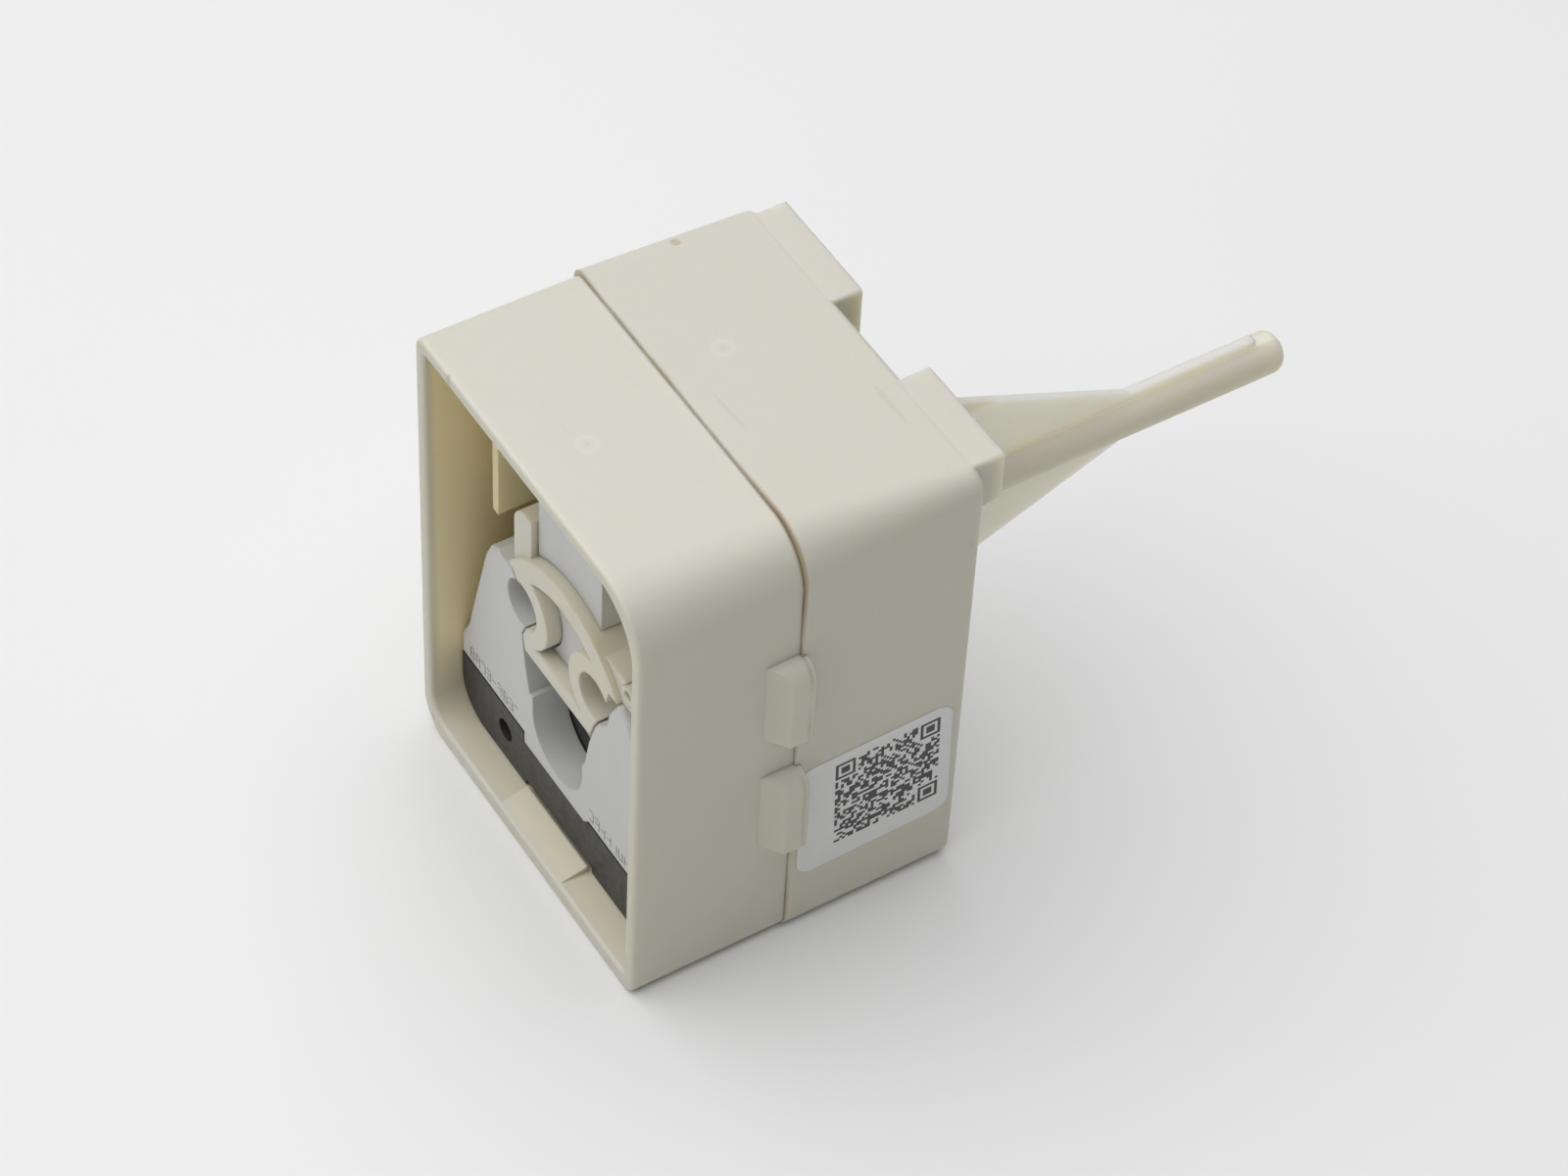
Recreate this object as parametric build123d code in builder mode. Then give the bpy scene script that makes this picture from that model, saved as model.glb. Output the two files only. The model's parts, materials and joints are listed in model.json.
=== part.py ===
# Plug-on start device for a small refrigeration compressor: a two-part snap-together housing with a
# tail arm, a thermal overload protector and a ceramic (PTC) starter, plugged on three compressor pins.
# Units are millimetres. X runs across the housing, Y from its open front to the tip of the tail arm,
# Z up. The origin is under the middle of the overall box, on the surface that the housing stands on.
from build123d import *
import math
import os

# ---- Housing: driving dimensions ----
frame_width = 48.6
frame_height = 64.6
frame_depth = 20.3
rear_depth = 22.7
wall = 1.8
floor_wall = 2.4  # the front frame's floor is thicker than its other walls
back_wall = 2.0
rim_radii = (8.5, 1.8, 5.0, 2.2)  # top right, top left, bottom left, bottom right
seam_radii = (6.6, 2.0, 5.0, 2.2)
back_radii = (2.8, 2.6, 4.4, 2.4)
inner_corner_loss = 1.0  # an inside corner is this much tighter than the outside one
smallest_radius = 0.4
side_step = 0.3  # the rear housing's sides stand this far outside the front frame
roof_step = 0.6  # and its roof this far above
roof_fall = 1.0  # the rear housing's roof falls this much from the seam to the back
rim_round = 0.5
rear_edge_round = 1.0
rear_foot_round = 3.2  # round of the rear housing's lower back corner, seen from the side
lap_length = 2.5
lap_wall = 1.2
lap_clearance = 0.1
root = 0.3  # ribs and catches are rooted this deep in their wall

# ---- Details of the front frame ----
ramp_centre_x = 0.5
ramp_width = 14.0
ramp_height = 0.9
ramp_start = 0.5
hanging_rib_x = -17.2
hanging_rib_thickness = 1.2
hanging_rib_start = 6.0
hanging_rib_end = 17.0
hanging_rib_low = 39.3
lug_proud = 2.6
lug_length = 11.8
lug_centres = (23.7, 42.2)
lug_foot = 4.3  # how far ahead of the seam a lug's slope starts
lug_slope = 2.0
lug_hook = 0.6  # how far a lug reaches back over the seam
lug_round = 2.4

# ---- Tail arm and tongues of the rear housing ----
tail_length = 49.9
tail_x = 11.0
tail_z = 47.0
tail_rod_radius = 2.6
tail_tip_round = 1.4
tail_tip_cut = 3.0
tail_web_thickness = 1.1
tail_web_reach = 29.0
tail_web_low = 31.6
tail_web_low_reach = 32.0
tail_fin_height = 0.8
tail_fin_end = 3.6
tail_root = 0.5  # how deep the arm and the tongues are rooted in the back wall
shelf_heights = (32.5, 43.0)
shelf_thickness = 1.4
rail_spread = 9.0
tongue_length = 3.5
tongue_height = 7.3
tongue_root = 1.4
tongue_inner_ends = (-6.1, 7.3)
tongue_inset = 2.0  # from the housing's side to a tongue's outer end
tongue_round = 0.5

# ---- Label ----
label_width = 20.4
label_height = 18.4
label_thickness = 0.12
label_round = 2.0
label_depth = 31.3
label_centre_z = 18.8
label_turn = 1.8  # degrees

# ---- Pins of the compressor ----
pin_radius = 1.6
pin_spread = 8.0  # start and run pins stand this far each side of the middle
pin_high = 33.4
pin_low = 17.3
socket_clearance = 0.03
socket_wall = 0.7
socket_length = 8.0
socket_slit = 0.6
seat_clearance = 0.05

# ---- Flat terminals (quick-connect blades) ----
blade_height = 6.3
blade_thickness = 0.8
blade_recess = 1.2  # a blade stops this far inside the back face
blade_slot_margin_x = 1.8
blade_slot_margin_z = 1.6
blade_slot_round = 0.6
blade_hole_radius = 0.8
blade_tip_chamfer = 0.25
line_blade_rise = 3.6  # the line blade is this far above the common pin

# ---- Overload protector ----
face_depth = 4.2  # the devices' front faces stand this far behind the rim
insert_clearance = 0.3
piece_gap = 0.15
base_band_top = 11.6
base_band_depth = 8.0
band_left_round = 5.2
band_right_round = 2.2
band_notch_left = 7.5  # the cover's foot is let into the band from here
band_notch_right = 7.0  # to here
band_notch_depth = 1.6
band_notch_slope = 0.8
band_right_drop = 0.8
test_hole_x = -12.0
test_hole_rise = 4.8
test_hole_radius = 1.5
test_hole_depth = 3.0
front_edge_chamfer = 0.3
wing_flat_x = 12.0
cover_depth = 4.5
cover_skin = 1.6
cover_wall = 1.3
trough_radius = 5.6
trough_wall = 1.2
trough_depth = 4.6
trough_floor_gap = 0.1
trough_floor_margin = 1.8  # the trough's floor reaches this far past the trough on each side
trough_floor_rise = 6.3  # and this far above the common pin
protector_half_width = 13.0
protector_round = 2.0
protector_rise = 8.7  # the protector's body reaches this far above the common pin
protector_depth = 24.6
protector_cap_thickness = 1.4
chamber_radius = 9.6
chamber_depth = 7.6
chamber_drop = 2.0  # the chamber's centre is this far below the common pin
disc_radius = 8.7
disc_thickness = 0.3
disc_dish = 0.6
disc_travel = 0.7
contact_spread = 6.4
contact_radius = 1.5
contact_height = 1.0
strip_thickness = 0.6
strip_width = 3.4
stud_radius = 1.0
stud_hole_clearance = 0.3
stud_head_radius = 2.0
stud_head_height = 0.8
heater_radius = 3.6
heater_width = 1.0
heater_thickness = 0.4

# ---- Starter ----
starter_front = 9.0
starter_depth = 25.0
starter_half_width = 12.4
starter_drop = 4.2  # the starter's body reaches this far below its pins
starter_rise = 12.2  # and its shoulders this far above them
starter_tower_half_width = 6.9
starter_tower_front = 5.7
tower_roof_gap = 2.2  # between the tower's top and the frame's roof
tower_wall = 1.0
tower_rise = 7.0  # the tower's front starts this far above the pins, behind the arch
starter_cap_thickness = 1.2
starter_chamber_half_width = 5.2
pill_chamber_depth = 16.2
spring_height = 9.0
pill_radius = 7.0
pill_thickness = 3.0
spring_thickness = 0.4
spring_gap = 0.05
boss_outer_radius = 5.6
boss_inner_radius = 3.25
cover_gap = 0.25
foot_gap = 0.42
cover_corner_round = 2.6
cover_drop = 0.7  # the cover's face outside the arch lies this much deeper
arch_shift = 0.8  # the arch's centre is this far right of the middle
arch_drop = 4.0  # and this far below the pins
arch_reach = 3.6  # the arch's inner edge is this far outside the pins
arch_width = 3.0
pocket_floor_depth = 6.1  # the grey body shows through the pocket at this depth
eyelet_radius = 1.3
eyelet_hole = 0.7
eyelet_proud = 0.3

# ---- Worked out from the above ----
overall_length = frame_depth + rear_depth + tail_length
rim_y = -overall_length / 2
back_y = rim_y + frame_depth + rear_depth
tip_y = rim_y + overall_length
half_width = frame_width / 2
rear_half_width = half_width + side_step
rear_high = frame_height + roof_step
roof_at_back = rear_high - roof_fall
inside_half_width = half_width - wall
inside_low = floor_wall
inside_high = frame_height - wall
body_depth = frame_depth + rear_depth
insert_half_width = inside_half_width - insert_clearance
insert_low = inside_low + insert_clearance
socket_outer_radius = pin_radius + socket_clearance + socket_wall
blade_end = body_depth - blade_recess
lap_half = rear_half_width - wall - lap_clearance
lap_low = wall + lap_clearance
rear_inside_high = roof_at_back - wall
lap_high = rear_inside_high - lap_clearance
protector_low = lap_low + lap_wall + insert_clearance
common_socket_front = face_depth + trough_depth + trough_floor_gap
protector_back = face_depth + protector_depth
protector_top = pin_low + protector_rise
chamber_z = pin_low - chamber_drop
line_blade_z = pin_low + line_blade_rise
chamber_front = protector_back - chamber_depth
starter_back = starter_front + starter_depth
pin_socket_front = starter_front + 0.5
trough_floor_half_width = trough_radius + trough_floor_margin
trough_floor_top = pin_low + trough_floor_rise
starter_low = pin_high - starter_drop
starter_shoulder = pin_high + starter_rise
starter_tower_low = pin_high + tower_rise
starter_tower_top = inside_high - tower_roof_gap
pill_z = starter_tower_top - tower_wall - insert_clearance - pill_radius
wing_top = pin_high + 4.0
cover_lower_edge = pin_high - 7.0
cover_left_x = -pin_spread - 3.0
cover_top_left = pin_high + 13.9
cover_top_right = pin_high + 8.0
pocket_low = pin_high - 4.8
arch_centre = (arch_shift, pin_high - arch_drop)
arch_inner_radius = pin_spread + arch_reach
arch_outer_radius = arch_inner_radius + arch_width
eyelet_x = pin_spread + 6.5
eyelet_z = wing_top + 2.8

os.makedirs("parts", exist_ok=True)


def across(depth):
    """Plane across the housing at a depth behind the rim: local x is X and local y is Z."""
    return Plane.XZ.offset(-(rim_y + depth))


def upright(x):
    """Plane along the housing at a given X: local x is Y and local y is Z."""
    return Plane.YZ.offset(x)


def rounded_outline(half, low, high, radii):
    """Closed outline with its own radius at each corner, from the top right one round to the left."""
    arcs = []
    for turn, radius in enumerate(radii):
        centre_x = (half - radius) if turn in (0, 3) else -(half - radius)
        centre_z = (high - radius) if turn in (0, 1) else (low + radius)
        arcs.append(CenterArc((centre_x, centre_z), radius, 90 * turn, 90))
    for first, second in zip(arcs, arcs[1:] + arcs[:1]):
        Line(first @ 1, second @ 0)


def write(part, label):
    part.label = label
    export_step(part, f"parts/{label}.step")


def tighter(radii, loss):
    """The same corners seen from inside a wall."""
    return [max(radius - loss, smallest_radius) for radius in radii]


inner_radii = tighter(rim_radii, inner_corner_loss)

# ---- Front frame: the collar that goes over the compressor's terminal fence ----
with BuildPart() as front_frame:
    for depth, radii in ((0, rim_radii), (frame_depth, seam_radii)):
        with BuildSketch(across(depth)):
            with BuildLine():
                rounded_outline(half_width, 0, frame_height, radii)
            make_face()
    loft()
    with BuildSketch(across(0)):
        with BuildLine():
            rounded_outline(inside_half_width, inside_low, inside_high, inner_radii)
        make_face()
    extrude(amount=-frame_depth, mode=Mode.SUBTRACT)
    fillet(front_frame.faces().sort_by(Axis.Y)[0].edges(), radius=rim_round)
    # Lap that the rear housing closes over, on a root that fills out to the frame's walls.
    for start, half, low, high in (
        (frame_depth - lap_length, half_width - wall / 2, wall / 2, frame_height - wall / 2),
        (frame_depth, lap_half, lap_low, lap_high),
    ):
        with BuildSketch(across(start)):
            with BuildLine():
                rounded_outline(half, low, high, inner_radii)
            make_face()
            with BuildLine():
                rounded_outline(
                    lap_half - lap_wall,
                    lap_low + lap_wall,
                    lap_high - lap_wall,
                    tighter(inner_radii, lap_wall),
                )
            make_face(mode=Mode.SUBTRACT)
        extrude(amount=-lap_length)
    # Ramp that the protector snaps over.
    with BuildSketch(upright(ramp_centre_x)):
        with BuildLine():
            Polyline(
                (rim_y + ramp_start, inside_low - root),
                (rim_y + ramp_start, inside_low),
                (rim_y + face_depth - piece_gap, inside_low + ramp_height),
                (rim_y + face_depth - piece_gap, inside_low - root),
                close=True,
            )
        make_face()
    extrude(amount=ramp_width / 2, both=True)
    # Rib that hangs from the roof beside the starter.
    with BuildSketch(upright(hanging_rib_x)):
        with BuildLine():
            Polyline(
                (rim_y + hanging_rib_start, inside_high + root),
                (rim_y + hanging_rib_start, hanging_rib_low),
                (rim_y + hanging_rib_end - 3.0, hanging_rib_low),
                (rim_y + hanging_rib_end, hanging_rib_low + 6.0),
                (rim_y + hanging_rib_end, inside_high + root),
                close=True,
            )
        make_face()
    extrude(amount=hanging_rib_thickness / 2, both=True)
    # Catches on both sides: a slope in front, a flat face, and a hook over the seam.
    seam_y = rim_y + frame_depth
    lug_face = half_width + lug_proud
    for side in (1, -1):
        for height in lug_centres:
            with BuildSketch(Plane.XY.offset(height - lug_length / 2)):
                with BuildLine():
                    Polyline(
                        (side * (half_width - root), seam_y),
                        (side * (half_width - root), seam_y - lug_foot),
                        (side * half_width, seam_y - lug_foot),
                        (side * lug_face, seam_y - lug_foot + lug_slope),
                        (side * lug_face, seam_y + lug_hook),
                        (side * (rear_half_width + lap_clearance), seam_y + lug_hook),
                        (side * (rear_half_width + lap_clearance), seam_y),
                        close=True,
                    )
                make_face()
            extrude(amount=lug_length)
    lug_tops = [height + lug_length / 2 for height in lug_centres]
    lug_edges = [
        edge
        for edge in front_frame.edges().filter_by(Axis.Y)
        if abs(edge.center().X) > lug_face - 0.1 and min(abs(edge.center().Z - top) for top in lug_tops) < 0.1
    ]
    fillet(lug_edges, radius=lug_round)
write(front_frame.part, "front_frame")

# ---- Rear housing: a cup with three terminal slots, two tongues and the tail arm ----
blade_places = [(-pin_spread, pin_high), (pin_spread, pin_high), (0, line_blade_z)]
with BuildPart() as rear_housing:
    for depth, high, radii in ((frame_depth, rear_high, seam_radii), (body_depth, roof_at_back, back_radii)):
        with BuildSketch(across(depth)):
            with BuildLine():
                rounded_outline(rear_half_width, 0, high, radii)
            make_face()
    loft()
    fillet(rear_housing.faces().sort_by(Axis.Y)[-1].edges(), radius=rear_edge_round)
    with BuildSketch(upright(-2 * rear_half_width)):
        with BuildLine():
            foot_end = rim_y + body_depth
            foot_centre = (foot_end - rear_foot_round, rear_foot_round)
            foot_arc = CenterArc(foot_centre, rear_foot_round, 270, 90)
            Polyline(
                foot_arc @ 1,
                (foot_end + rear_foot_round, rear_foot_round),
                (foot_end + rear_foot_round, -rear_foot_round),
                (foot_end - rear_foot_round, -rear_foot_round),
                foot_arc @ 0,
            )
        make_face()
    extrude(amount=4 * rear_half_width, mode=Mode.SUBTRACT)
    # Tongues that carry the roof on past the back face.
    tongue_outer_end = rear_half_width - tongue_inset
    for inner_end in tongue_inner_ends:
        outer_end = math.copysign(tongue_outer_end, inner_end)
        with BuildSketch(across(body_depth - tongue_root)):
            with Locations(((inner_end + outer_end) / 2, roof_at_back - tongue_height / 2)):
                Rectangle(abs(outer_end - inner_end), tongue_height)
            fillet(vertices(), radius=tongue_round)
        extrude(amount=-(tongue_length + tongue_root))
    # Tail arm: a round rod in a thin upright web.
    with BuildSketch(across(body_depth - tail_root)):
        with Locations((tail_x, tail_z)):
            Circle(tail_rod_radius)
    extrude(amount=-(tail_length + tail_root))
    tip = rear_housing.faces().sort_by(Axis.Y)[-1]
    fillet(tip.edges(), radius=tail_tip_round)
    with BuildSketch(upright(tail_x)):
        with BuildLine():
            Polyline(
                (back_y - tail_root, roof_at_back - tail_root),
                (back_y + tail_web_reach, tail_z + tail_rod_radius + tail_fin_height),
                (tip_y - tail_fin_end, tail_z + tail_rod_radius + tail_fin_height),
                (tip_y - tail_fin_end, tail_z),
                (back_y + tail_web_low_reach, tail_z - tail_rod_radius + tail_root),
                (back_y - tail_root, tail_web_low),
                close=True,
            )
        make_face()
    extrude(amount=tail_web_thickness / 2, both=True)
    # Slanting cut under the tip.
    with BuildSketch(upright(tail_x)):
        with BuildLine():
            Polyline(
                (tip_y, tail_z),
                (tip_y + 1, tail_z),
                (tip_y + 1, tail_z - tail_rod_radius - 1),
                (tip_y - tail_tip_cut, tail_z - tail_rod_radius - 1),
                (tip_y - tail_tip_cut, tail_z - tail_rod_radius),
                close=True,
            )
        make_face()
    extrude(amount=tail_rod_radius + 1, both=True, mode=Mode.SUBTRACT)
    # Hollow of the cup.
    with BuildSketch(across(frame_depth)):
        with BuildLine():
            rounded_outline(rear_half_width - wall, wall, rear_inside_high, inner_radii)
        make_face()
    extrude(amount=-(rear_depth - back_wall), mode=Mode.SUBTRACT)
    # Shelves beside the starter and rails under the protector.
    inner_rib_length = rear_depth - lap_length - insert_clearance - back_wall / 2
    rail_top = protector_low - insert_clearance
    shelf_reach = rear_half_width - wall / 2 - starter_half_width - insert_clearance
    for side in (1, -1):
        for height in shelf_heights:
            with BuildSketch(across(frame_depth + lap_length + insert_clearance)):
                with Locations((side * (starter_half_width + insert_clearance + shelf_reach / 2), height)):
                    Rectangle(shelf_reach, shelf_thickness)
            extrude(amount=-inner_rib_length)
        with BuildSketch(across(frame_depth + lap_length + insert_clearance)):
            with Locations((side * rail_spread, (wall / 2 + rail_top) / 2)):
                Rectangle(shelf_thickness, rail_top - wall / 2)
        extrude(amount=-inner_rib_length)
    # One slot in the back wall around each flat terminal.
    for place in blade_places:
        with BuildSketch(across(body_depth - back_wall - 1)):
            with Locations(place):
                Rectangle(blade_thickness + 2 * blade_slot_margin_x, blade_height + 2 * blade_slot_margin_z)
            fillet(vertices(), radius=blade_slot_round)
        extrude(amount=-(back_wall + 2), mode=Mode.SUBTRACT)
write(rear_housing.part, "rear_housing")

# ---- Label: a blank sticker on the right-hand side ----
with BuildPart() as label:
    with BuildSketch(upright(rear_half_width)):
        with Locations((rim_y + label_depth, label_centre_z)):
            RectangleRounded(label_width, label_height, label_round, rotation=label_turn)
    extrude(amount=label_thickness)
write(label.part, "label")

# ---- Overload protector ----
cover_outline_right = [
    (trough_radius + 0.3, pin_low + 1.7),
    (trough_radius + 1.5, pin_low + 7.7),
    (pin_spread + 0.4, pin_high - 4.4),
    (pin_spread + 2.9, pin_high + 0.2),
    (pin_spread + 4.9, wing_top - 0.2),
]
cover_outline_left = [
    (-pin_spread - 2.3, wing_top - 0.2),
    (-pin_spread + 1.8, pin_high - 0.6),
    (-pin_spread - 0.1, pin_high - 4.8),
    (-trough_radius - 1.8, pin_low + 6.7),
    (-trough_radius - 0.6, pin_low + 1.7),
]


def wing(side):
    """Outer edge of the cover's wing, from its top down to its foot."""
    return [
        (side * (pin_spread + 5.6), wing_top),
        (side * (pin_spread + 7.4), wing_top - 1.2),
        (side * (pin_spread + 8.5), wing_top - 3.4),
        (side * (insert_half_width - 2.1), base_band_top + 8.8),
        (side * (insert_half_width - 1.6), base_band_top + 6.4),
        (side * insert_half_width, base_band_top + 3.4),
        (side * insert_half_width, base_band_top),
    ]


def wing_hollow(side):
    """Outline of the hollow in a wing's back, a wall inside the wing's own edges."""
    return [
        (side * (trough_radius + 2 * cover_wall), base_band_top + cover_wall),
        (side * (insert_half_width - cover_wall), base_band_top + cover_wall),
        (side * (insert_half_width - 2.1 - cover_wall), base_band_top + 6.9),
        (side * (pin_spread + 7.6), pin_high - 2.4),
        (side * (pin_spread + 4.6), pin_high - 2.4),
        (side * (pin_spread + 2.2), pin_high - 5.9),
        (side * (trough_radius + 2 * cover_wall), pin_low + 2.7),
    ]


with BuildPart() as protector_cover:
    with BuildSketch(across(face_depth)):
        with BuildLine():
            Polyline(
                (-band_notch_left, base_band_top),
                (-band_notch_left, base_band_top - band_notch_depth),
                (band_notch_right - band_notch_slope, base_band_top - band_notch_depth),
                (band_notch_right, base_band_top - band_right_drop),
                (insert_half_width, base_band_top - band_right_drop),
                *reversed(wing(1)[:-1]),
                *reversed(cover_outline_right),
                (trough_radius, pin_low),
                (-trough_radius, pin_low),
                *reversed(cover_outline_left),
                *wing(-1),
                close=True,
            )
        make_face()
        with Locations((0, pin_low)):
            Circle(trough_radius, mode=Mode.SUBTRACT)
        with Locations((-pin_spread, pin_high), (pin_spread, pin_high)):
            Circle(boss_inner_radius, mode=Mode.SUBTRACT)
    extrude(amount=-cover_depth)
    # Hollow back of both wings.
    for side in (1, -1):
        with BuildSketch(across(face_depth + cover_skin)):
            with BuildLine():
                Polyline(*wing_hollow(side), close=True)
            make_face()
        extrude(amount=-cover_depth, mode=Mode.SUBTRACT)
    # Sleeve round the trough that leads to the common pin.
    with BuildSketch(across(face_depth)):
        with Locations((0, pin_low)):
            Circle(trough_radius + trough_wall)
            Circle(trough_radius, mode=Mode.SUBTRACT)
            with Locations((0, trough_radius + trough_wall)):
                Rectangle(4 * trough_radius, 2 * (trough_radius + trough_wall), mode=Mode.SUBTRACT)
        for side in (1, -1):
            with Locations((side * (trough_radius + trough_wall / 2), pin_low + 1.2)):
                Rectangle(trough_wall, 2.5)
    extrude(amount=-trough_depth)
    shallow_edges = protector_cover.faces().sort_by(Axis.Y)[0].outer_wire().edges()
    wing_edges = [edge for edge in shallow_edges if abs(edge.center().X) > wing_flat_x]
    chamfer(wing_edges, length=front_edge_chamfer)
write(protector_cover.part, "protector_cover")

with BuildPart() as protector_base:
    with BuildSketch(across(face_depth)):
        with BuildLine():
            band_top = base_band_top - piece_gap
            left_centre = (-insert_half_width + band_left_round, insert_low + band_left_round)
            right_centre = (insert_half_width - band_right_round, insert_low + band_right_round)
            left_arc = CenterArc(left_centre, band_left_round, 180, 90)
            right_arc = CenterArc(right_centre, band_right_round, 270, 90)
            Line(left_arc @ 1, right_arc @ 0)
            Polyline(
                right_arc @ 1,
                (insert_half_width, band_top - band_right_drop),
                (band_notch_right, band_top - band_right_drop),
                (band_notch_right - band_notch_slope, band_top - band_notch_depth),
                (-band_notch_left - piece_gap, band_top - band_notch_depth),
                (-band_notch_left - piece_gap, band_top),
                (-insert_half_width, band_top),
                left_arc @ 0,
            )
        make_face()
    extrude(amount=-base_band_depth)
    with BuildSketch(across(face_depth + base_band_depth - 0.05)):
        with Locations((0, (protector_low + protector_top) / 2)):
            RectangleRounded(2 * protector_half_width, protector_top - protector_low, protector_round)
    extrude(amount=-(protector_depth - base_band_depth + 0.05))
    # Floor of the trough, behind the cover's sleeve, with room for the sleeve in the front band.
    with BuildSketch(across(face_depth + trough_depth + piece_gap)):
        with Locations((0, (protector_low + trough_floor_top) / 2)):
            Rectangle(2 * trough_floor_half_width, trough_floor_top - protector_low)
    extrude(amount=-(base_band_depth - trough_depth))
    with BuildSketch(across(face_depth)):
        with Locations((0, pin_low)):
            Circle(trough_radius + trough_wall + piece_gap)
    extrude(amount=-(trough_depth + piece_gap), mode=Mode.SUBTRACT)
    # Relief that passes the ramp, a test hole, and the seats of the common socket and its blade.
    with BuildSketch(across(face_depth)):
        with Locations((ramp_centre_x, insert_low)):
            Rectangle(ramp_width + 4 * insert_clearance, 2 * ramp_height)
    extrude(amount=-protector_depth, mode=Mode.SUBTRACT)
    with BuildSketch(across(face_depth)):
        with Locations((test_hole_x, insert_low + test_hole_rise)):
            Circle(test_hole_radius)
    extrude(amount=-test_hole_depth, mode=Mode.SUBTRACT)
    with BuildSketch(across(face_depth + trough_depth)):
        with Locations((0, pin_low)):
            Circle(socket_outer_radius + seat_clearance)
    extrude(amount=-(socket_length + trough_floor_gap), mode=Mode.SUBTRACT)
    with BuildSketch(across(protector_back)):
        with Locations((0, chamber_z)):
            Circle(chamber_radius)
    extrude(amount=chamber_depth, mode=Mode.SUBTRACT)
write(protector_base.part, "protector_base")

with BuildPart() as protector_back_cap:
    with BuildSketch(across(protector_back)):
        with Locations((0, (protector_low + protector_top) / 2)):
            RectangleRounded(2 * protector_half_width, protector_top - protector_low, protector_round)
        with Locations((0, chamber_z)):
            Circle(stud_radius + seat_clearance, mode=Mode.SUBTRACT)
        with Locations((0, line_blade_z)):
            Rectangle(
                blade_thickness + 2 * seat_clearance, blade_height + 2 * seat_clearance, mode=Mode.SUBTRACT
            )
    extrude(amount=-protector_cap_thickness)
write(protector_back_cap.part, "protector_back_cap")


def pin_socket(place, front, label_text):
    """Slit spring receptacle for one compressor pin, with a flared mouth."""
    with BuildPart() as socket:
        with BuildSketch(across(front)):
            with Locations(place):
                Circle(socket_outer_radius)
                Circle(pin_radius + socket_clearance, mode=Mode.SUBTRACT)
        extrude(amount=-socket_length)
        mouth = socket.faces().sort_by(Axis.Y)[0].edges().sort_by(SortBy.RADIUS)[0]
        chamfer(mouth, length=socket_wall / 2)
        with BuildSketch(across(front)):
            with Locations((place[0], place[1] + socket_outer_radius)):
                Rectangle(socket_slit, 2 * socket_wall + 0.2)
        extrude(amount=-socket_length, mode=Mode.SUBTRACT)
    write(socket.part, label_text)


def flat_terminal(place, start, label_text):
    """Upright quick-connect blade with a bevelled tip and its locking hole."""
    with BuildPart() as blade:
        with BuildSketch(across(start)):
            with Locations(place):
                Rectangle(blade_thickness, blade_height)
        extrude(amount=-(blade_end - start))
        tip_edges = blade.faces().sort_by(Axis.Y)[-1].edges()
        chamfer(tip_edges, length=blade_tip_chamfer)
        with BuildSketch(upright(place[0])):
            with Locations((rim_y + blade_end - blade_height / 2 + 0.6, place[1])):
                Circle(blade_hole_radius)
        extrude(amount=blade_thickness, both=True, mode=Mode.SUBTRACT)
    write(blade.part, label_text)


pin_socket((0, pin_low), common_socket_front, "common_socket")
flat_terminal((0, line_blade_z), protector_back - 1.0, "line_blade")

# Everything in the chamber is stacked back from its floor.
strip_back = chamber_front + strip_thickness
fixed_back = strip_back + contact_height
moving_back = fixed_back + contact_height
disc_back = moving_back + disc_thickness
stud_head_front = disc_back + disc_dish + disc_travel + stud_hole_clearance

for side, name_of_side in ((-1, "left"), (1, "right")):
    with BuildPart() as contact_strip:
        with BuildSketch(across(chamber_front)):
            with Locations((side * contact_spread, chamber_z)):
                SlotOverall(3.2 * strip_width, strip_width, rotation=90)
        extrude(amount=-strip_thickness)
    write(contact_strip.part, f"{name_of_side}_contact_strip")

for front, name_of_set in ((strip_back, "fixed_contacts"), (fixed_back, "moving_contacts")):
    with BuildPart() as contacts:
        with BuildSketch(across(front)):
            with Locations((-contact_spread, chamber_z), (contact_spread, chamber_z)):
                Circle(contact_radius)
        extrude(amount=-contact_height)
    write(contacts.part, name_of_set)

with BuildPart() as bimetal_disc:
    disc_hole = stud_radius + stud_hole_clearance
    dish_edge = contact_spread - contact_radius - 0.3
    with BuildSketch(Plane.YZ.offset(0)):
        with BuildLine():
            disc_front = rim_y + moving_back
            Polyline(
                (disc_front, chamber_z + disc_radius),
                (disc_front, chamber_z + dish_edge),
                (disc_front + disc_dish, chamber_z + disc_hole),
                (disc_front + disc_dish + disc_thickness, chamber_z + disc_hole),
                (disc_front + disc_thickness, chamber_z + dish_edge),
                (disc_front + disc_thickness, chamber_z + disc_radius),
                close=True,
            )
        make_face()
    revolve(axis=Axis((0, 0, chamber_z), (0, 1, 0)))
write(bimetal_disc.part, "bimetal_disc")

with BuildPart() as calibration_stud:
    with BuildSketch(across(moving_back - 0.6)):
        with Locations((0, chamber_z)):
            Circle(stud_radius)
    extrude(amount=-(protector_back + protector_cap_thickness + 0.4 - (moving_back - 0.6)))
    with BuildSketch(across(stud_head_front)):
        with Locations((0, chamber_z)):
            Circle(stud_head_radius)
    extrude(amount=-stud_head_height)
    with BuildSketch(across(protector_back + protector_cap_thickness + 0.4)):
        with Locations((0, chamber_z)):
            Rectangle(2.2 * stud_radius, 0.4)
    extrude(amount=0.4, mode=Mode.SUBTRACT)
write(calibration_stud.part, "calibration_stud")

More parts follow.
